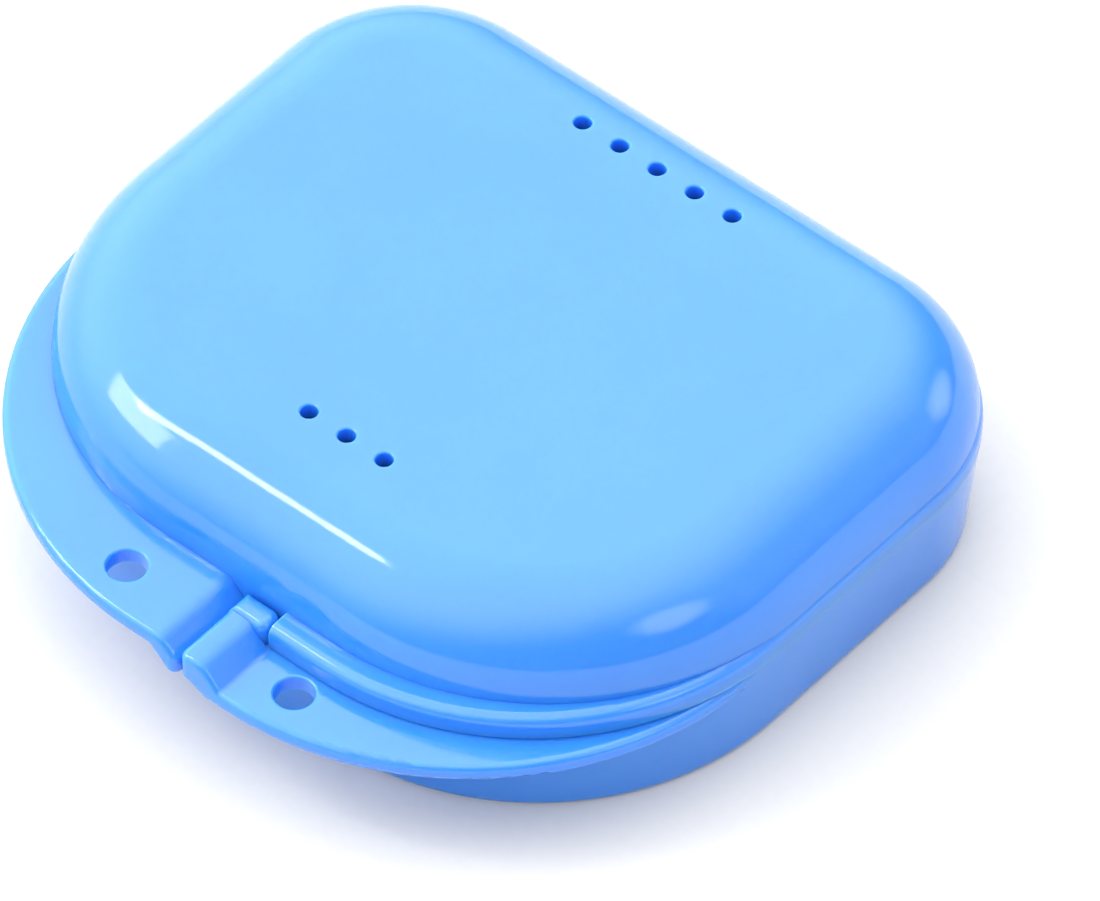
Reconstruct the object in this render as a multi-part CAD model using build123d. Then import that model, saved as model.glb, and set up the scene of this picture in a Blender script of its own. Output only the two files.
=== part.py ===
"""Hinged two-shell case with a boxing mouthguard inside it.

Millimetres, +Z up.  The origin is the centre of the flat underside of the base.
+X is the side of the base's finger tab, -Y is the front and +Y the hinge side.
"""
from build123d import *
import math
import os

# Case body, measured over its rim
BODY_WIDTH = 84.8
BODY_DEPTH = 72.7
BASE_HEIGHT = 12.0
LID_HEIGHT = 12.0
BACK_CORNER_RADIUS = 17.4
FRONT_CORNER_RADIUS = 31.0
WALL = 1.4
PARTING_GAP = 0.1

# Base
BASE_DRAFT = 5.6
BASE_EDGE_RADIUS = 1.0
BASE_INNER_RADIUS = 2.2
BASE_SETBACK = 0.1
BASE_FRONT_SETBACK = 0.9

# Lid: a soft-edged dome that stands behind a rim at the front
DOME_SETBACK = 0.2
DOME_FRONT_SETBACK = 2.6
DOME_DRAFT = 2.0
DOME_EDGE_RADIUS = 9.6
DOME_TOP_WALL = 2.0
RIM_HEIGHT = 2.6
RIM_EDGE_RADIUS = 1.1

# Finger tabs: the lid has the left half, the base the right half
TAB_REACH = 7.7
TAB_THICKNESS = 2.0
TAB_DROP = 0.08
TAB_FRONT_FLAT = 6.2
TAB_SETBACK = 0.4
TAB_EDGE_RADIUS = 0.75
TAB_SPLIT_GAP = 0.3
SPLIT_CENTRE_X = 0.15
STEP_TOP_WIDTH = 2.6
STEP_SLOPE_RUN = 2.3
TIP_RISE = 0.35
TIP_FOOT = 1.2
TIP_LIFT = 0.5
TIP_LEAN = 1.2
STEP_DROP = 0.25
STEP_UNDERCUT = 1.0
STEP_FOOT = 1.2
STEP_LEAN = 0.6
FOLD_RADIUS = 0.7
BROW_RADIUS = 2.2
STEP_CORNER_RADIUS = 1.0

# Latch hook on the base and the notch that it fills in the lid's rim
HOOK_WIDTH = 4.5
HOOK_RISE = 0.1
HOOK_CLEARANCE = 0.2
HOOK_FRONT_STAND = 0.4
HOOK_CORNER_RADIUS = 1.1
HOOK_EDGE_RADIUS = 0.95

# Lanyard holes, one in each tab
TAB_HOLE_DIAMETER = 4.0
TAB_HOLE_X = 10.6
TAB_HOLE_INSET = 5.0
TAB_HOLE_EDGE_RADIUS = 0.3

# Vent holes
VENT_DIAMETER = 1.75
VENT_PITCH = 4.75
VENT_BACK_COUNT = 5
VENT_FRONT_COUNT = 3
VENT_BACK_INSET = 9.7
VENT_ROW_SPACING = 45.8
VENT_EDGE_RADIUS = 0.25

# Hinge
PIN_DIAMETER = 1.5
PIN_RUNNING_CLEARANCE = 0.05
KNUCKLE_WALL = 0.75
KNUCKLE_WALL_CLEARANCE = 0.3
HINGE_DROP = 0.6
BASE_KNUCKLE_LENGTH = 6.0
LID_KNUCKLE_LENGTH = 22.0
KNUCKLE_SIDE_CLEARANCE = 0.25
PIN_END_SETBACK = 0.5

# Mouthguard: an arch of three nested layers that fills the case but for these spaces
GUARD_SIDE_SPACE = 11.3
GUARD_FRONT_SPACE = 9.0
GUARD_BACK_SPACE = 15.8
GUARD_TOP_CLEARANCE = 2.3
GUARD_FLOOR_CLEARANCE = 0.3
GUARD_LEG_SPLAY = 8.0
GUARD_BAND = 13.4
GUARD_SHELL = 1.5
GUARD_FRAME = 1.0
GUARD_LINER = 1.7
GUARD_BACK_DROP = 6.5
GUARD_INNER_DROP = 9.0
GUARD_NOTCH_WIDTH = 7.0
GUARD_NOTCH_DEPTH = 3.5

# Distance within which two places count as the same
EPSILON = 0.01

# Derived places of the body
HALF_GAP = PARTING_GAP / 2
HALF_WIDTH = BODY_WIDTH / 2
HALF_DEPTH = BODY_DEPTH / 2
TOTAL_HEIGHT = BASE_HEIGHT + LID_HEIGHT
BASE_TOP = BASE_HEIGHT - HALF_GAP
LID_BOTTOM = BASE_HEIGHT + HALF_GAP
RIM_TOP = BASE_HEIGHT + RIM_HEIGHT
DOME_FRONT_Y = -HALF_DEPTH + DOME_FRONT_SETBACK

# Derived places of the tabs, the split between them and the hook
TAB_TOP = BASE_TOP - TAB_DROP
TAB_BOTTOM = TAB_TOP - TAB_THICKNESS
LID_TAB_BOTTOM = RIM_TOP - TAB_THICKNESS
TAB_FRONT_Y = -HALF_DEPTH - TAB_REACH
TAB_CORNER_RADIUS = HALF_WIDTH - TAB_SETBACK - TAB_FRONT_FLAT
TAB_END_Y = TAB_FRONT_Y + TAB_CORNER_RADIUS
TAB_HOLE_Y = TAB_FRONT_Y + TAB_HOLE_INSET
STEP_LEFT = SPLIT_CENTRE_X + TAB_SPLIT_GAP / 2
STEP_RIGHT = STEP_LEFT + STEP_TOP_WIDTH
TIP_RIGHT = SPLIT_CENTRE_X - TAB_SPLIT_GAP / 2
TIP_LEFT = TIP_RIGHT - STEP_SLOPE_RUN
HOOK_RIGHT = STEP_LEFT + HOOK_WIDTH
HOOK_TIP_Y = DOME_FRONT_Y - HOOK_CLEARANCE
HOOK_FRONT_Y = -HALF_DEPTH - HOOK_FRONT_STAND

# Derived places of the hinge
KNUCKLE_RADIUS = PIN_DIAMETER / 2 + PIN_RUNNING_CLEARANCE + KNUCKLE_WALL
HINGE_Y = HALF_DEPTH + KNUCKLE_WALL_CLEARANCE + KNUCKLE_RADIUS
HINGE_Z = BASE_HEIGHT - HINGE_DROP
HINGE_SIDE_X = LID_KNUCKLE_LENGTH / 2 + KNUCKLE_SIDE_CLEARANCE
HINGE_END_X = HINGE_SIDE_X + BASE_KNUCKLE_LENGTH

# Derived places of the mouthguard, whose legs run straight on from its round front
GUARD_FLOOR_Z = WALL + GUARD_FLOOR_CLEARANCE
GUARD_TOP_Z = TOTAL_HEIGHT - DOME_TOP_WALL - GUARD_TOP_CLEARANCE
GUARD_END_X = HALF_WIDTH - GUARD_SIDE_SPACE
GUARD_END_Y = HALF_DEPTH - GUARD_BACK_SPACE
GUARD_FRONT_Y = -HALF_DEPTH + GUARD_FRONT_SPACE
SPLAY_SIN = math.sin(math.radians(GUARD_LEG_SPLAY))
SPLAY_COS = math.cos(math.radians(GUARD_LEG_SPLAY))
GUARD_LEG = SPLAY_COS * (GUARD_END_Y - GUARD_FRONT_Y) - (1 - SPLAY_SIN) * GUARD_END_X
GUARD_LEG /= SPLAY_COS ** 2 - SPLAY_SIN * (1 - SPLAY_SIN)
GUARD_OUTER_RADIUS = (GUARD_END_X - GUARD_LEG * SPLAY_SIN) / SPLAY_COS
GUARD_INNER_RADIUS = GUARD_OUTER_RADIUS - GUARD_BAND
GUARD_CENTRE_Y = GUARD_FRONT_Y + GUARD_OUTER_RADIUS


def body_outline(setback, front_setback):
    """Plan outline of the body, with its four corners round."""
    width = BODY_WIDTH - 2 * setback
    back = HALF_DEPTH - setback
    front = -HALF_DEPTH + front_setback
    outline = Pos(0, (back + front) / 2) * Rectangle(width, back - front)
    front_corners = outline.vertices().group_by(Axis.Y)[0]
    outline = fillet(front_corners, FRONT_CORNER_RADIUS - setback)
    back_corners = outline.vertices().group_by(Axis.Y)[-1]
    return fillet(back_corners, BACK_CORNER_RADIUS - setback)


def tab_outline(side, split_x):
    """Plan outline of one tab, from the split round the front corner to the body's side."""
    length = 2 * TAB_CORNER_RADIUS
    far_x = side * (HALF_WIDTH - TAB_SETBACK)
    centre = ((split_x + far_x) / 2, TAB_FRONT_Y + length / 2)
    outline = Pos(*centre) * Rectangle(abs(far_x - split_x), length)
    front = outline.vertices().group_by(Axis.Y)[0].sort_by(lambda corner: abs(corner.X))
    outline = fillet(front[-1:], TAB_CORNER_RADIUS)
    front = outline.vertices().group_by(Axis.Y)[0].sort_by(lambda corner: abs(corner.X))
    return fillet(front[:1], STEP_CORNER_RADIUS)


def tab_fold(points, split_x, brow):
    """Solid with a tab's XZ profile, round at the folds, most of all at its brow."""
    profile = make_face(Polyline(*points, close=True))
    profile = fillet(profile.vertices().sort_by_distance(brow)[:1], BROW_RADIUS)
    folds = [point for point in points if abs(point[0] - split_x) > EPSILON and point != brow]
    corners = [profile.vertices().sort_by_distance(point)[0] for point in folds]
    profile = fillet(corners, FOLD_RADIUS)
    return extrude(Plane.XZ.offset(-TAB_END_Y) * profile, amount=TAB_END_Y - TAB_FRONT_Y)


def prism_along_x(points, left, right):
    """Solid with a YZ profile, from x = left to x = right."""
    profile = make_face(Polyline(*[(left, y, z) for y, z in points], close=True))
    return extrude(profile, amount=right - left, dir=(1, 0, 0))


def block(x_range, y_range, z_range):
    """Box between two corners."""
    size = [high - low for low, high in (x_range, y_range, z_range)]
    centre = [(high + low) / 2 for low, high in (x_range, y_range, z_range)]
    return Pos(*centre) * Box(*size)


def upright(outline, low, high):
    """Straight prism of a plan outline between two heights."""
    return extrude(Pos(0, 0, low) * outline, amount=high - low)


def drafted(outline, low, high, parting, angle):
    """Prism that has its outline at the parting height and leans in by an angle above it."""
    prism = upright(outline, low, high)
    sides = prism.faces().filter_by(Axis.Z, reverse=True)
    return draft(sides, Plane((0, 0, parting)), angle)


def rod_along_x(radius, left, right):
    """Cylinder on the hinge axis."""
    rod = Rot(0, 90, 0) * Cylinder(radius, right - left)
    return Pos((left + right) / 2, HINGE_Y, HINGE_Z) * rod


def finger_tab(side, split_x, points, brow, body):
    """Folded tab with soft edges that ends inside the wall of the body."""
    outline = tab_outline(side, split_x)
    tab = tab_fold(points, split_x, brow) & upright(outline, TAB_BOTTOM, RIM_TOP)

    def near_outline(point):
        flat = Vector(point.X, point.Y, 0)
        return min(line.distance_to(flat) for line in outline.edges()) < EPSILON

    def on_outline(edge):
        in_front = edge.center().Y < TAB_END_Y - EPSILON
        return in_front and all(near_outline(edge @ share) for share in (0.1, 0.5, 0.9))

    tab = fillet(tab.edges().filter_by(on_outline), TAB_EDGE_RADIUS)
    return tab - upright(body, TAB_BOTTOM, RIM_TOP)


def tab_hole(side, low, high):
    """Cutter for the lanyard hole on one side."""
    centre = (side * TAB_HOLE_X, TAB_HOLE_Y, (low + high) / 2)
    return Pos(*centre) * Cylinder(TAB_HOLE_DIAMETER / 2, high - low)


def hole_edges(solid, side):
    """Both mouths of a lanyard hole."""
    def at_hole(edge):
        centre = edge.arc_center
        return abs(centre.X - side * TAB_HOLE_X) < EPSILON and abs(centre.Y - TAB_HOLE_Y) < EPSILON

    return solid.edges().filter_by(GeomType.CIRCLE).filter_by(at_hole)


# Base ------------------------------------------------------------------------


def tray():
    """Open tray with drafted walls and a flat floor."""
    outline = body_outline(BASE_SETBACK, BASE_FRONT_SETBACK)
    outer = drafted(outline, 0, BASE_TOP, BASE_TOP, -BASE_DRAFT)
    outer = fillet(outer.edges().group_by(Axis.Z)[0], BASE_EDGE_RADIUS)
    outline = body_outline(BASE_SETBACK + WALL, BASE_FRONT_SETBACK + WALL)
    inner = drafted(outline, WALL, BASE_TOP, BASE_TOP, -BASE_DRAFT)
    inner = fillet(inner.edges().group_by(Axis.Z)[0], BASE_INNER_RADIUS)
    return outer - inner


def base_tab():
    """Right-hand finger tab, with a raised step beside the split."""
    brow = (STEP_RIGHT, RIM_TOP - STEP_DROP)
    profile = [
        (STEP_LEFT, TAB_BOTTOM + STEP_UNDERCUT),
        (STEP_LEFT + STEP_FOOT, TAB_BOTTOM + STEP_UNDERCUT),
        (STEP_RIGHT + STEP_LEAN, TAB_BOTTOM),
        (BODY_WIDTH, TAB_BOTTOM),
        (BODY_WIDTH, TAB_TOP),
        (STEP_RIGHT + STEP_SLOPE_RUN, TAB_TOP),
        brow,
        (STEP_LEFT, RIM_TOP - STEP_DROP),
    ]
    body = body_outline(BASE_SETBACK + WALL / 2, BASE_FRONT_SETBACK + WALL / 2)
    tab = finger_tab(1, STEP_LEFT, profile, brow, body)
    clear_y = -HALF_DEPTH - TAB_SPLIT_GAP
    tab -= block((STEP_LEFT, HALF_WIDTH), (clear_y, HALF_DEPTH), (BASE_TOP, RIM_TOP))
    tab -= tab_hole(1, TAB_BOTTOM, TAB_TOP)
    return fillet(hole_edges(tab, 1), TAB_HOLE_EDGE_RADIUS)


def hook():
    """Latch hook: a block that stands on the front wall and reaches in to the dome."""
    heights = (BASE_TOP - WALL, RIM_TOP + HOOK_RISE)
    body = block((STEP_LEFT, HOOK_RIGHT), (HOOK_FRONT_Y, HOOK_TIP_Y), heights)
    body = fillet(body.edges().filter_by(Axis.Z).group_by(Axis.X)[-1], HOOK_CORNER_RADIUS)
    return fillet(body.edges().group_by(Axis.Z)[-1], HOOK_EDGE_RADIUS)


def case_base():
    """Lower half of the case."""
    base = tray() + base_tab() + hook()
    web_y = (HALF_DEPTH - BASE_SETBACK - WALL / 2, HINGE_Y)
    for side in (-1, 1):
        ends = sorted((side * HINGE_SIDE_X, side * HINGE_END_X))
        base += block(ends, web_y, (HINGE_Z - KNUCKLE_RADIUS, BASE_TOP))
        base += rod_along_x(KNUCKLE_RADIUS, *ends)
        base -= rod_along_x(PIN_DIAMETER / 2, *ends)
    return base


# Lid -------------------------------------------------------------------------


def dome():
    """Soft-edged shell of the lid."""
    outline = body_outline(DOME_SETBACK, DOME_FRONT_SETBACK)
    outer = drafted(outline, LID_BOTTOM, TOTAL_HEIGHT, LID_BOTTOM, DOME_DRAFT)
    outer = fillet(outer.edges().group_by(Axis.Z)[-1], DOME_EDGE_RADIUS)
    outline = body_outline(DOME_SETBACK + WALL, DOME_FRONT_SETBACK + WALL)
    inner = drafted(outline, LID_BOTTOM, TOTAL_HEIGHT - DOME_TOP_WALL, LID_BOTTOM, DOME_DRAFT)
    inner = fillet(inner.edges().group_by(Axis.Z)[-1], DOME_EDGE_RADIUS - WALL)
    return outer - inner


def lid_rim():
    """Band round the foot of the dome, broad at the front and nearly flush elsewhere."""
    band = upright(body_outline(0, 0), LID_BOTTOM, RIM_TOP)
    band = fillet(band.edges().group_by(Axis.Z)[-1], RIM_EDGE_RADIUS)
    inside = body_outline(DOME_SETBACK + WALL / 2, DOME_FRONT_SETBACK + WALL / 2)
    return band - upright(inside, LID_BOTTOM, RIM_TOP)


def lid_tab():
    """Left-hand finger tab, whose end turns down beside the base's step."""
    brow = (TIP_LEFT, RIM_TOP)
    profile = [
        (-BODY_WIDTH, LID_TAB_BOTTOM),
        (-BODY_WIDTH, RIM_TOP),
        brow,
        (TIP_RIGHT, LID_BOTTOM + TIP_RISE),
        (TIP_RIGHT, TAB_BOTTOM + TIP_LIFT),
        (TIP_RIGHT - TIP_FOOT, TAB_BOTTOM + TIP_LIFT),
        (TIP_LEFT - TIP_LEAN, LID_TAB_BOTTOM),
    ]
    body = body_outline(DOME_SETBACK + WALL / 2, DOME_FRONT_SETBACK + WALL / 2)
    tab = finger_tab(-1, TIP_RIGHT, profile, brow, body)
    clear_y = -HALF_DEPTH + BASE_FRONT_SETBACK - TAB_SPLIT_GAP
    tab -= block((-HALF_WIDTH, HALF_WIDTH), (clear_y, HALF_DEPTH), (TAB_BOTTOM, LID_BOTTOM))
    tab -= tab_hole(-1, LID_TAB_BOTTOM, RIM_TOP)
    return fillet(hole_edges(tab, -1), TAB_HOLE_EDGE_RADIUS)


def notch():
    """Cutter for the gap in the rim, which the lid's tab and the latch hook fill."""
    sides = (TIP_LEFT - STEP_SLOPE_RUN, HOOK_RIGHT + HOOK_CLEARANCE)
    return block(sides, (-HALF_DEPTH, DOME_FRONT_Y + WALL), (LID_BOTTOM, RIM_TOP))


def vent_places():
    """Centres of the vent holes, five at the back and three at the front."""
    back_y = HALF_DEPTH - VENT_BACK_INSET
    for count, y in ((VENT_BACK_COUNT, back_y), (VENT_FRONT_COUNT, back_y - VENT_ROW_SPACING)):
        for index in range(count):
            yield ((index - (count - 1) / 2) * VENT_PITCH, y)


def case_lid():
    """Upper half of the case."""
    lid = (lid_rim() - notch()) + lid_tab() + dome()
    knuckle = (-LID_KNUCKLE_LENGTH / 2, LID_KNUCKLE_LENGTH / 2)
    web_y = (HALF_DEPTH - DOME_SETBACK - WALL / 2, HINGE_Y)
    lid += block(knuckle, web_y, (LID_BOTTOM, HINGE_Z + KNUCKLE_RADIUS))
    lid += rod_along_x(KNUCKLE_RADIUS, *knuckle)
    lid -= rod_along_x(PIN_DIAMETER / 2 + PIN_RUNNING_CLEARANCE, *knuckle)
    vent_depth = 2 * DOME_TOP_WALL
    for x, y in vent_places():
        lid -= Pos(x, y, TOTAL_HEIGHT) * Cylinder(VENT_DIAMETER / 2, 2 * vent_depth)

    def is_vent_mouth(edge):
        on_top = abs(edge.center().Z - TOTAL_HEIGHT) < EPSILON
        return on_top and edge.radius < VENT_DIAMETER

    vent_mouths = lid.edges().filter_by(GeomType.CIRCLE).filter_by(is_vent_mouth)
    return fillet(vent_mouths, VENT_EDGE_RADIUS)


def hinge_pin():
    """Plain round pin through all the knuckles."""
    half = HINGE_END_X - PIN_END_SETBACK
    return rod_along_x(PIN_DIAMETER / 2, -half, half)


# Mouthguard ------------------------------------------------------------------


def arch_area(radius):
    """Plan area inside an arch: round at the front, with legs that splay towards the back."""
    turn = (radius * SPLAY_COS, GUARD_CENTRE_Y - radius * SPLAY_SIN)
    end = (turn[0] + GUARD_LEG * SPLAY_SIN, turn[1] + GUARD_LEG * SPLAY_COS)
    apex = (0, GUARD_CENTRE_Y + GUARD_LEG / SPLAY_COS)
    left_turn = (-turn[0], turn[1])
    left_end = (-end[0], end[1])
    bow = ThreePointArc(left_turn, (0, GUARD_CENTRE_Y - radius), turn)
    legs = Polyline(turn, end, apex, left_end, left_turn)
    return make_face(bow + legs)


def arch_band(outer, inner, low, high):
    """Part of the arch between two radii and two heights."""
    return upright(arch_area(outer) - arch_area(inner), low, high)


def guard_height_limit():
    """Solid that the mouthguard keeps inside: tall at the front, lower over the back teeth."""
    front = GUARD_FRONT_Y
    back = GUARD_CENTRE_Y + GUARD_LEG
    shoulder = GUARD_CENTRE_Y - GUARD_INNER_RADIUS
    profile = [
        (front, GUARD_FLOOR_Z),
        (back, GUARD_FLOOR_Z),
        (back, GUARD_TOP_Z - GUARD_BACK_DROP),
        (shoulder, GUARD_TOP_Z),
        (front, GUARD_TOP_Z),
    ]
    limit = prism_along_x(profile, -HALF_WIDTH, HALF_WIDTH)
    notch_x = (-GUARD_NOTCH_WIDTH / 2, GUARD_NOTCH_WIDTH / 2)
    notch_z = (GUARD_TOP_Z - GUARD_NOTCH_DEPTH, GUARD_TOP_Z)
    return limit - block(notch_x, (front, shoulder), notch_z)


def channel(outer, inner, thickness, low):
    """Trough with an outer wall, an inner wall and a floor, all of one thickness."""
    outer_wall = arch_band(outer, outer - thickness, low, GUARD_TOP_Z)
    floor = arch_band(outer, inner, low, low + thickness)
    inner_wall = arch_band(inner + thickness, inner, low, GUARD_TOP_Z - GUARD_INNER_DROP)
    return (outer_wall + floor + inner_wall) & guard_height_limit()


def mouthguard_shell():
    """Tough outer layer."""
    return channel(GUARD_OUTER_RADIUS, GUARD_INNER_RADIUS, GUARD_SHELL, GUARD_FLOOR_Z)


def mouthguard_frame():
    """Stiff shock frame in the floor, between the shell and the liner."""
    outer = GUARD_OUTER_RADIUS - GUARD_SHELL
    inner = GUARD_INNER_RADIUS + GUARD_SHELL
    low = GUARD_FLOOR_Z + GUARD_SHELL
    return arch_band(outer, inner, low, low + GUARD_FRAME)


def mouthguard_liner():
    """Soft fitting layer that holds the teeth."""
    outer = GUARD_OUTER_RADIUS - GUARD_SHELL
    inner = GUARD_INNER_RADIUS + GUARD_SHELL
    return channel(outer, inner, GUARD_LINER, GUARD_FLOOR_Z + GUARD_SHELL + GUARD_FRAME)


PARTS = {
    "case_base": case_base,
    "case_lid": case_lid,
    "hinge_pin": hinge_pin,
    "mouthguard_shell": mouthguard_shell,
    "mouthguard_frame": mouthguard_frame,
    "mouthguard_liner": mouthguard_liner,
}

os.makedirs("parts", exist_ok=True)
for name, build in PARTS.items():
    export_step(build(), f"parts/{name}.step")
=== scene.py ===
"""Looks for the hinged mouthguard case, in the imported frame: metres, +Z up, front at -Y."""
import math

import bmesh
import bpy
from mathutils import Matrix, Vector


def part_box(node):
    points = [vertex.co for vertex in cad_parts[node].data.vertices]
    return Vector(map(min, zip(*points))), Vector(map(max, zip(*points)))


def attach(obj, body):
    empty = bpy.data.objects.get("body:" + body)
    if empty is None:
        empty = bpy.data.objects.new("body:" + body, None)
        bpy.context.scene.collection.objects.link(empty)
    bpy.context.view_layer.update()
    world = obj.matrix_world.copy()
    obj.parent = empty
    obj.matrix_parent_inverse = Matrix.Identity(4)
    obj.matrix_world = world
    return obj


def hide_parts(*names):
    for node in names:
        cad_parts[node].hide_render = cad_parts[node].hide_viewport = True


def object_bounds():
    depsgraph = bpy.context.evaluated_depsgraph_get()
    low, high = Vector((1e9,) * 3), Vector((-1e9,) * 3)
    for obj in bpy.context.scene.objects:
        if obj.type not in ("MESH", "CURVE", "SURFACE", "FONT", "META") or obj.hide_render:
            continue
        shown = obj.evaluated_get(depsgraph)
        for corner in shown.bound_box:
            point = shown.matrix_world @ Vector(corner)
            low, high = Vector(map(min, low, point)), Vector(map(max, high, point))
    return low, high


MM = 0.001

# Camera: seen from the front right, 48 degrees above the floor, through a long lens.
# It aims at a point level with the lid's top, to the right of the middle and towards the front.
VIEW_AZIMUTH = math.radians(40.57)
VIEW_ELEVATION = math.radians(48.02)
VIEW_DISTANCE = 1.405
AIM_SIDE = 16.02 * MM
AIM_FORWARD = -8.05 * MM
LENS = 482.83
SENSOR = 36.0
CLIP_END = 20.0

# Mouthguard arch, as in the CAD solids
GUARD_SPLAY = math.radians(8.0)
GUARD_BAND = 13.4 * MM
GUARD_SHELL = 1.5 * MM
GUARD_FRAME = 1.0 * MM
GUARD_LINER = 1.7 * MM
GUARD_BACK_DROP = 6.5 * MM
GUARD_INNER_DROP = 9.0 * MM
GUARD_NOTCH_DEPTH = 3.5 * MM
GUARD_NOTCH_WIDTH = 7.0 * MM

# Mouthguard's visible layers: what the smooth meshes add to the arch
NOTCH_FALL = 1.6
END_REACH = 2.4 * MM
END_PULL = 0.45
LIP_PULL = 3
CORNER_SHARE = 0.45
LIP_SHARE = 0.42
TROUGH_CORNERS = 8
SUBDIVISIONS = 2
MIN_STATIONS = 8
STATION_SPACING = 1.6 * MM
LAYER_GAP = 0.05 * MM
SHELL_FOOT_RADIUS = 1.6 * MM

LINER_STATION_SPACING = 0.8 * MM
LINER_SIDE_GAP = 0.06 * MM
LINER_LIP_SETBACK = 0.35 * MM
LINER_FOOT_RADIUS = 0.8 * MM
RIB_HALF_HEIGHT = 0.22 * MM
RIB_PITCH = 3.2 * MM

FRAME_SIDE_GAP = 1.0 * MM
FRAME_EDGE_RADIUS = 0.25 * MM
WAIST_DEPTH = 0.9 * MM
WAIST_PITCH = 6.4 * MM

# Surroundings
FLOOR_HALF = 1.6
FLOOR_CELLS = 8
LIGHT_DISTANCE = 1.5
TENT_COLOUR = (0.43, 0.43, 0.46)

# Bright patches of the tent: direction, inner and outer angle in degrees, colour
GLOWS = (
    ((-0.50, -0.05, 0.86), 34, 86, (2.25, 2.25, 2.25)),
    ((0.84, -0.08, 0.56), 3, 15, (2.4, 2.4, 3.0)),
    ((0.48, 0.82, 0.26), 3, 16, (2.2, 2.2, 2.7)),
    ((0.73, 0.49, 0.48), 6, 36, (0.55, 0.57, 0.6)),
)

# Part of the 0 to 1 range in which nearly all of a noise lies
NOISE_FLOOR = 0.3
NOISE_CEILING = 0.7


def add_object(name, data):
    """New object in the scene that holds this data."""
    thing = bpy.data.objects.new(name, data)
    bpy.context.scene.collection.objects.link(thing)
    return thing


def mesh_data(name, mesh):
    """Mesh data from a bmesh, which is freed."""
    data = bpy.data.meshes.new(name)
    mesh.to_mesh(data)
    mesh.free()
    return data


# Node helpers ----------------------------------------------------------------


def new_material(name):
    """An empty node material with its shader and output."""
    material = bpy.data.materials.new(name)
    material.use_nodes = True
    tree = material.node_tree
    tree.nodes.clear()
    shader = tree.nodes.new("ShaderNodeBsdfPrincipled")
    output = tree.nodes.new("ShaderNodeOutputMaterial")
    tree.links.new(shader.outputs[0], output.inputs["Surface"])
    return material, tree, shader


def noise(tree, scale, detail, roughness=0.5):
    """Noise over the object's own coordinates, in cycles per metre."""
    coordinates = tree.nodes.new("ShaderNodeTexCoord")
    node = tree.nodes.new("ShaderNodeTexNoise")
    node.inputs["Scale"].default_value = scale
    node.inputs["Detail"].default_value = detail
    node.inputs["Roughness"].default_value = roughness
    tree.links.new(coordinates.outputs["Object"], node.inputs["Vector"])
    return node.outputs["Fac"]


def ramp(tree, factor, low, high):
    """Number from low to high over the middle of a noise."""
    node = tree.nodes.new("ShaderNodeMapRange")
    node.inputs["From Min"].default_value = NOISE_FLOOR
    node.inputs["From Max"].default_value = NOISE_CEILING
    node.inputs["To Min"].default_value = low
    node.inputs["To Max"].default_value = high
    tree.links.new(factor, node.inputs["Value"])
    return node.outputs["Result"]


def set_colour(tree, shader, factor, first, second):
    """Base colour between two by a factor."""
    node = tree.nodes.new("ShaderNodeMix")
    node.data_type = "RGBA"
    node.inputs["A"].default_value = (*first, 1.0)
    node.inputs["B"].default_value = (*second, 1.0)
    tree.links.new(factor, node.inputs["Factor"])
    tree.links.new(node.outputs["Result"], shader.inputs["Base Color"])


def set_roughness(tree, shader, factor, low, high):
    """Roughness from low to high over the middle of a noise."""
    tree.links.new(ramp(tree, factor, low, high), shader.inputs["Roughness"])


def set_subsurface(shader, weight, radius, scale):
    """Light that scatters under the surface, the same all over."""
    shader.inputs["Subsurface Weight"].default_value = weight
    shader.inputs["Subsurface Radius"].default_value = radius
    shader.inputs["Subsurface Scale"].default_value = scale


def add_bump(tree, shader, height, distance, strength=1.0):
    """Bump from a height, on top of any bump already there."""
    node = tree.nodes.new("ShaderNodeBump")
    node.inputs["Strength"].default_value = strength
    node.inputs["Distance"].default_value = distance
    tree.links.new(height, node.inputs["Height"])
    if shader.inputs["Normal"].links:
        earlier = shader.inputs["Normal"].links[0].from_socket
        tree.links.new(earlier, node.inputs["Normal"])
    tree.links.new(node.outputs["Normal"], shader.inputs["Normal"])


# Materials -------------------------------------------------------------------


def case_plastic():
    """Glossy, slightly translucent moulded polypropylene with faint flow clouds and ripple."""
    material, tree, shader = new_material("case_plastic")
    clouds = ramp(tree, noise(tree, scale=45.0, detail=3.0), low=0.0, high=1.0)
    set_colour(tree, shader, clouds, first=(0.027, 0.222, 0.720), second=(0.032, 0.240, 0.750))
    set_roughness(tree, shader, noise(tree, scale=3500.0, detail=3.0), low=0.07, high=0.12)
    shader.inputs["IOR"].default_value = 1.66
    set_subsurface(shader, weight=0.85, radius=(0.3, 0.7, 1.0), scale=0.003)
    ripple = noise(tree, scale=260.0, detail=1.0)
    add_bump(tree, shader, ripple, distance=0.000012)
    grain = noise(tree, scale=5200.0, detail=2.0)
    add_bump(tree, shader, grain, distance=0.0000006)
    return material


def pin_steel():
    """Drawn steel wire with a fine grain."""
    material, tree, shader = new_material("pin_steel")
    grain = noise(tree, scale=9000.0, detail=2.0)
    set_colour(tree, shader, grain, first=(0.46, 0.46, 0.48), second=(0.66, 0.66, 0.68))
    set_roughness(tree, shader, grain, low=0.22, high=0.38)
    shader.inputs["Metallic"].default_value = 1.0
    add_bump(tree, shader, grain, distance=0.000004)
    return material


def shell_rubber():
    """Satin milky rubber with a fine moulded grain and faint cloudy patches."""
    material, tree, shader = new_material("guard_shell_rubber")
    patches = ramp(tree, noise(tree, scale=120.0, detail=4.0), low=0.0, high=1.0)
    set_colour(tree, shader, patches, first=(0.17, 0.30, 0.46), second=(0.21, 0.35, 0.51))
    set_roughness(tree, shader, noise(tree, scale=900.0, detail=3.0), low=0.38, high=0.55)
    grain = noise(tree, scale=2600.0, detail=3.0)
    add_bump(tree, shader, grain, distance=0.00004, strength=0.6)
    return material


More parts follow.
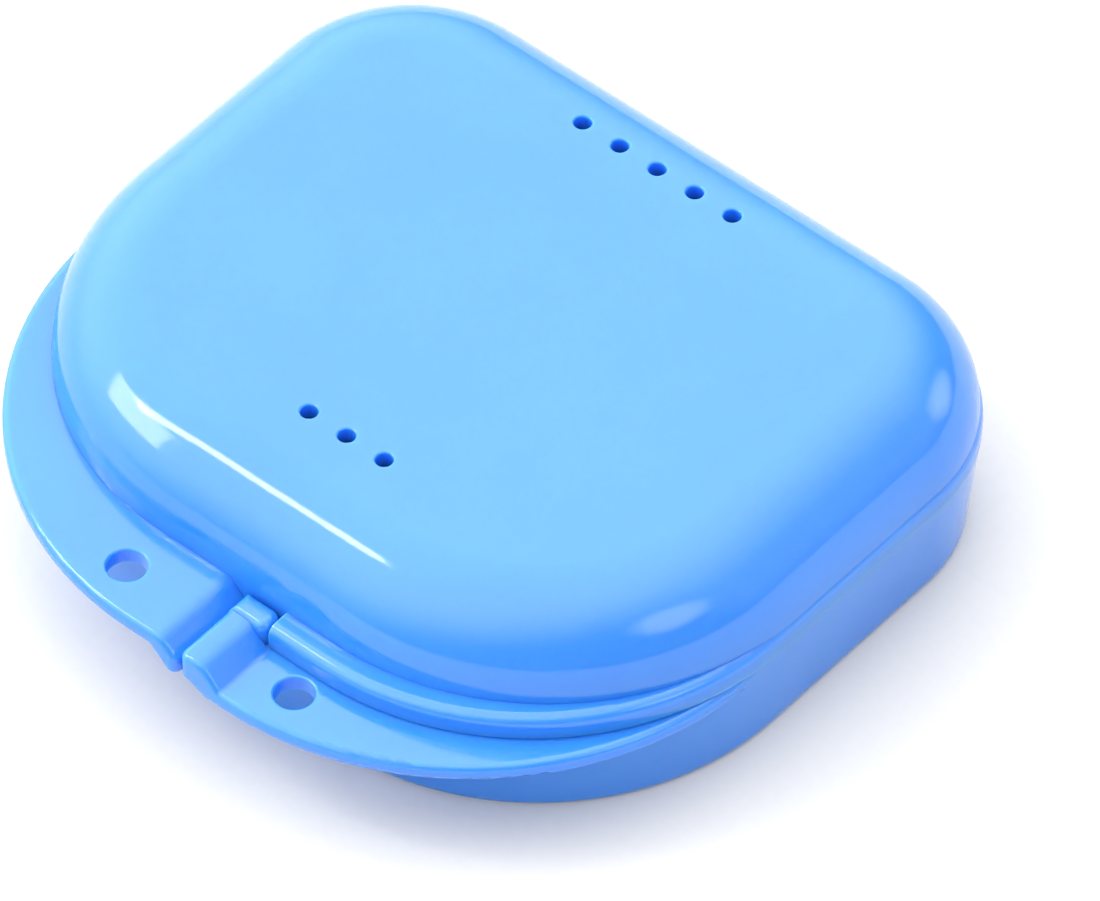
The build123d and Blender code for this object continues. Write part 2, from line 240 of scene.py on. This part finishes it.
def frame_plastic():
    """Matt off-white shock frame."""
    material, tree, shader = new_material("guard_frame_plastic")
    tint = noise(tree, scale=300.0, detail=3.0)
    set_colour(tree, shader, tint, first=(0.42, 0.43, 0.44), second=(0.50, 0.51, 0.52))
    set_roughness(tree, shader, tint, low=0.5, high=0.65)
    grain = noise(tree, scale=4000.0, detail=2.0)
    add_bump(tree, shader, grain, distance=0.00002, strength=0.5)
    return material


def liner_gel():
    """Soft milky gel with a cloudy tint and a damp sheen."""
    material, tree, shader = new_material("guard_liner_gel")
    clouds = ramp(tree, noise(tree, scale=160.0, detail=4.0), low=0.0, high=1.0)
    set_colour(tree, shader, clouds, first=(0.44, 0.47, 0.50), second=(0.49, 0.52, 0.55))
    set_roughness(tree, shader, noise(tree, scale=1400.0, detail=3.0), low=0.24, high=0.36)
    set_subsurface(shader, weight=0.7, radius=(0.3, 0.6, 1.0), scale=0.002)
    swell = noise(tree, scale=700.0, detail=2.0)
    add_bump(tree, shader, swell, distance=0.00002, strength=0.6)
    return material


def floor_white():
    """Pale seamless paper that glows a little, so that its shadows stay light."""
    material, tree, shader = new_material("floor_paper")
    fibre = noise(tree, scale=900.0, detail=4.0)
    set_colour(tree, shader, fibre, first=(0.58, 0.575, 0.55), second=(0.62, 0.615, 0.59))
    shader.inputs["Roughness"].default_value = 0.85
    shader.inputs["Emission Color"].default_value = (1.0, 1.0, 1.0, 1.0)
    shader.inputs["Emission Strength"].default_value = 0.04
    return material


# Mouthguard ------------------------------------------------------------------


class Arch:
    """Plan line of the mouthguard: a round front and two straight splayed legs."""

    def __init__(self, low, high):
        """Legs and front that fill the shell's box, whose ends are square to the legs."""
        sin = math.sin(GUARD_SPLAY)
        cos = math.cos(GUARD_SPLAY)
        end_x = high.x
        end_y = high.y - GUARD_BAND * sin
        depth = end_y - low.y
        self.leg = (cos * depth - (1 - sin) * end_x) / (cos * cos - sin * (1 - sin))
        self.outer = (end_x - self.leg * sin) / cos
        self.middle = self.outer - GUARD_BAND / 2
        self.centre_y = low.y + self.outer
        self.low = low
        self.high = high

    def stations(self, spacing):
        """(point, outward normal, distance to the nearer leg end) along the middle line."""
        bow_angle = math.pi / 2 - GUARD_SPLAY
        bow = 2 * bow_angle * self.middle
        total = bow + 2 * self.leg
        count = max(MIN_STATIONS, round(total / spacing))
        for index in range(count + 1):
            run = total * index / count
            yield (*self.place(run, bow, bow_angle), min(run, total - run))

    def place(self, run, bow, bow_angle):
        """Point and outward normal at a distance along the middle line."""
        before = min(run, self.leg)
        after = max(0.0, run - self.leg - bow)
        on_bow = run - before - after
        angle = -bow_angle + on_bow / self.middle
        normal = Vector((math.sin(angle), -math.cos(angle), 0.0))
        point = Vector((0.0, self.centre_y, 0.0)) + normal * self.middle
        back = Vector((math.sin(GUARD_SPLAY), math.cos(GUARD_SPLAY), 0.0))
        left = Vector((-back.x, back.y, 0.0))
        return point + left * (self.leg - before) + back * after, normal

    def outer_top(self, point):
        """Height of the outer wall's edge: high in front, low at the back, with a lip notch."""
        shoulder = self.centre_y - self.outer + GUARD_BAND
        share = (point.y - shoulder) / (self.high.y - shoulder)
        share = min(1.0, max(0.0, share))
        drop = GUARD_BACK_DROP * share * share * (3 - 2 * share)
        if point.y < self.centre_y:
            across = 2 * point.x / GUARD_NOTCH_WIDTH
            drop += GUARD_NOTCH_DEPTH * math.exp(-(across ** 2) * NOTCH_FALL)
        return self.high.z - drop

    def inner_top(self):
        """Height of the inner wall's edge."""
        return self.high.z - GUARD_INNER_DROP


def rounded(corners, radii):
    """Section outline whose corners are cut back for the subdivision to round."""
    points = []
    count = len(corners)
    for index, corner in enumerate(corners):
        here = Vector(corner)
        for other in (corners[index - 1], corners[(index + 1) % count]):
            along = Vector(other) - here
            cut = min(radii[index], along.length * CORNER_SHARE)
            points.append(here + along.normalized() * cut)
    return points


def trough_section(half, wall, low, floor, outer_top, inner_top, foot_radius):
    """U-shaped section across the arch: (offset outwards, height) points."""
    corners = [
        (-half, low),
        (half, low),
        (half, outer_top),
        (half - wall, outer_top),
        (half - wall, low + floor),
        (-half + wall, low + floor),
        (-half + wall, inner_top),
        (-half, inner_top),
    ]
    lip = wall * LIP_SHARE
    radii = [foot_radius, foot_radius, lip, lip, wall, wall, lip, lip]
    return rounded(corners, radii)


def end_pull(distance, thickness):
    """How far a layer's section pulls in near the end of a leg, so that the end is round."""
    if distance >= END_REACH:
        return 0.0
    inset = 1 - math.sqrt(1 - (1 - distance / END_REACH) ** 2)
    return inset * thickness * END_PULL


def sweep(name, stations, section_at):
    """Closed tube mesh through the sections at the stations."""
    mesh = bmesh.new()
    rings = []
    for point, normal, distance in stations:
        section = section_at(point, distance)
        place = [point + normal * across + Vector((0, 0, height)) for across, height in section]
        rings.append([mesh.verts.new(corner) for corner in place])
    count = len(rings[0])
    for first, second in zip(rings, rings[1:]):
        for index in range(count):
            after = (index + 1) % count
            mesh.faces.new((first[index], first[after], second[after], second[index]))
    for ring in (rings[0], rings[-1]):
        cap_end(mesh, ring)
    bmesh.ops.recalc_face_normals(mesh, faces=mesh.faces)
    return smooth_piece(name, mesh)


def cap_end(mesh, ring):
    """Closes the end of a tube, and a trough's with a strip of faces that follows its U."""
    if len(ring) == 2 * TROUGH_CORNERS:
        strips = [(0, 15, 14, 13), (13, 12, 11, 0), (0, 11, 10, 1), (1, 10, 9, 2)]
        strips += [(2, 9, 8, 3), (3, 8, 7, 4), (4, 7, 6, 5)]
        for strip in strips:
            mesh.faces.new([ring[index] for index in strip])
    else:
        mesh.faces.new(ring)


def smooth_piece(name, mesh):
    """Object with a subdivided, smooth mesh."""
    data = mesh_data(name, mesh)
    piece = add_object(name, data)
    modifier = piece.modifiers.new("smooth", "SUBSURF")
    modifier.levels = SUBDIVISIONS
    modifier.render_levels = SUBDIVISIONS
    for polygon in data.polygons:
        polygon.use_smooth = True
    return piece


def guard_shell(arch):
    """Tough outer layer, a trough with a round foot and rolled lips."""
    def section(point, distance):
        pull = end_pull(distance, GUARD_SHELL)
        return trough_section(
            half=GUARD_BAND / 2 - pull,
            wall=GUARD_SHELL - 2 * pull,
            low=arch.low.z + pull,
            floor=GUARD_SHELL - 2 * pull,
            outer_top=arch.outer_top(point) - LIP_PULL * pull,
            inner_top=arch.inner_top() - LIP_PULL * pull,
            foot_radius=SHELL_FOOT_RADIUS)
    return sweep("guard_shell", arch.stations(STATION_SPACING), section)


def guard_liner(arch):
    """Soft fitting layer inside the shell, with low ribs across its floor."""
    low = arch.low.z + GUARD_SHELL + GUARD_FRAME + LAYER_GAP
    half = GUARD_BAND / 2 - GUARD_SHELL - LINER_SIDE_GAP

    def section(point, distance):
        pull = end_pull(distance, GUARD_LINER)
        rib = RIB_HALF_HEIGHT * (1 + math.cos(2 * math.pi * distance / RIB_PITCH))
        return trough_section(
            half=half - pull,
            wall=GUARD_LINER - 2 * pull,
            low=low + pull,
            floor=GUARD_LINER - 2 * pull + rib,
            outer_top=arch.outer_top(point) - LINER_LIP_SETBACK - LIP_PULL * pull,
            inner_top=arch.inner_top() - LINER_LIP_SETBACK - LIP_PULL * pull,
            foot_radius=LINER_FOOT_RADIUS)
    return sweep("guard_liner", arch.stations(LINER_STATION_SPACING), section)


def guard_frame(arch):
    """Stiff band under the liner, waisted between its cross bars."""
    low = arch.low.z + GUARD_SHELL + LAYER_GAP
    high = low + GUARD_FRAME - 2 * LAYER_GAP

    def section(point, distance):
        waist = WAIST_DEPTH * (0.5 - 0.5 * math.cos(2 * math.pi * distance / WAIST_PITCH))
        half = GUARD_BAND / 2 - GUARD_SHELL - FRAME_SIDE_GAP - waist
        corners = [(-half, low), (half, low), (half, high), (-half, high)]
        return rounded(corners, [FRAME_EDGE_RADIUS] * len(corners))
    return sweep("guard_frame", arch.stations(STATION_SPACING), section)


def place_guard():
    """The three smooth layers, each in place of its CAD solid."""
    arch = Arch(*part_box("mouthguard_shell"))
    layers = (
        (guard_shell(arch), "mouthguard_shell", "guard_shell_rubber", shell_rubber()),
        (guard_frame(arch), "mouthguard_frame", "guard_frame_plastic", frame_plastic()),
        (guard_liner(arch), "mouthguard_liner", "guard_liner_gel", liner_gel()),
    )
    for piece, node, slot, material in layers:
        piece.data.materials.append(material)
        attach(piece, "mouthguard")
        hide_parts(node)


# Case ------------------------------------------------------------------------


def paint(node, material):
    """Gives every slot of a CAD node one material."""
    if not node.material_slots:
        node.data.materials.append(material)
    for slot in node.material_slots:
        slot.material = material


def paint_case(nodes):
    """Materials of the CAD nodes that stay in view."""
    plastic = case_plastic()
    for name in ("case_base", "case_lid"):
        paint(nodes[name], plastic)
    paint(nodes["hinge_pin"], pin_steel())


# Surroundings ----------------------------------------------------------------


def add_floor():
    """Pale floor under the case."""
    mesh = bmesh.new()
    bmesh.ops.create_grid(mesh, x_segments=FLOOR_CELLS, y_segments=FLOOR_CELLS, size=FLOOR_HALF)
    floor = add_object("floor", mesh_data("floor", mesh))
    floor.data.materials.append(floor_white())


def glow(tree, direction, inner, outer, colour, total):
    """Adds a soft-edged bright patch of sky round a direction to a running total."""
    coordinates = tree.nodes.new("ShaderNodeTexCoord")
    dot = tree.nodes.new("ShaderNodeVectorMath")
    dot.operation = "DOT_PRODUCT"
    dot.inputs[1].default_value = Vector(direction).normalized()
    tree.links.new(coordinates.outputs["Generated"], dot.inputs[0])
    edge = tree.nodes.new("ShaderNodeMapRange")
    edge.interpolation_type = "SMOOTHSTEP"
    edge.inputs["From Min"].default_value = math.cos(math.radians(outer))
    edge.inputs["From Max"].default_value = math.cos(math.radians(inner))
    tree.links.new(dot.outputs["Value"], edge.inputs["Value"])
    patch = tree.nodes.new("ShaderNodeMix")
    patch.data_type = "RGBA"
    patch.blend_type = "ADD"
    patch.clamp_result = False
    patch.inputs["B"].default_value = (*colour, 1.0)
    tree.links.new(edge.outputs["Result"], patch.inputs["Factor"])
    tree.links.new(total, patch.inputs["A"])
    return patch.outputs["Result"]


def add_world():
    """Light tent: bright overhead and to the left, two small glows and a weak fill on the right."""
    world = bpy.data.worlds.new("tent")
    bpy.context.scene.world = world
    world.use_nodes = True
    tree = world.node_tree
    tree.nodes.clear()
    base = tree.nodes.new("ShaderNodeRGB")
    base.outputs[0].default_value = (*TENT_COLOUR, 1.0)
    total = base.outputs[0]
    for direction, inner, outer, colour in GLOWS:
        total = glow(tree, direction, inner, outer, colour, total)
    background = tree.nodes.new("ShaderNodeBackground")
    output = tree.nodes.new("ShaderNodeOutputWorld")
    tree.links.new(total, background.inputs["Color"])
    tree.links.new(background.outputs[0], output.inputs["Surface"])


def softbox(name, direction, long_axis, size, power, target):
    """Rectangular light that faces the target, turned so that its long side follows an axis."""
    data = bpy.data.lights.new(name, "AREA")
    data.shape = "RECTANGLE"
    data.size, data.size_y = size
    data.energy = power
    light = add_object(name, data)
    out = Vector(direction).normalized()
    along = Vector(long_axis)
    along = (along - out * along.dot(out)).normalized()
    across = out.cross(along)
    turn = Matrix((along, across, out)).transposed().to_4x4()
    turn.translation = target + out * LIGHT_DISTANCE
    light.matrix_world = turn


def add_lights(top_height):
    """Two softboxes from the front left: a broad one, and a narrow one higher up."""
    target = Vector((0, 0, top_height))
    softbox(
        "key_box",
        direction=(-0.702, -0.459, 0.544),
        long_axis=(0.69, -0.60, 0.40),
        size=(0.62, 0.55),
        power=5.2,
        target=target)
    softbox(
        "key_strip",
        direction=(-0.55, -0.33, 0.75),
        long_axis=(0.70, 0.02, 0.71),
        size=(0.62, 0.14),
        power=2.9,
        target=target)


def add_camera(top_height):
    """Camera at the photograph's angle."""
    data = bpy.data.cameras.new("camera")
    data.lens = LENS
    data.sensor_width = SENSOR
    data.sensor_fit = "HORIZONTAL"
    data.clip_end = CLIP_END
    camera = add_object("camera", data)
    level = math.cos(VIEW_ELEVATION)
    side = math.sin(VIEW_AZIMUTH) * level
    forward = -math.cos(VIEW_AZIMUTH) * level
    away = Vector((side, forward, math.sin(VIEW_ELEVATION)))
    aim = Vector((AIM_SIDE, AIM_FORWARD, top_height))
    camera.location = aim + away * VIEW_DISTANCE
    camera.rotation_euler = (-away).to_track_quat("-Z", "Y").to_euler()
    bpy.context.scene.camera = camera


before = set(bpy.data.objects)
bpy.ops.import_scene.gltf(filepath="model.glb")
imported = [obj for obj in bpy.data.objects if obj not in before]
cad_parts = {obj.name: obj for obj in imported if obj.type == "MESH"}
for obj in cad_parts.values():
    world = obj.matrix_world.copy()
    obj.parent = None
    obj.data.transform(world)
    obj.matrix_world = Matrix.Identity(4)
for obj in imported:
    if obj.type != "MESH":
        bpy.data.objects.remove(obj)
cad_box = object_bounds()
lid_top = Vector(cad_box[1]).z
bpy.context.scene.view_settings.view_transform = "Standard"
add_camera(lid_top)
add_world()
add_lights(lid_top)
add_floor()
paint_case(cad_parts)
place_guard()
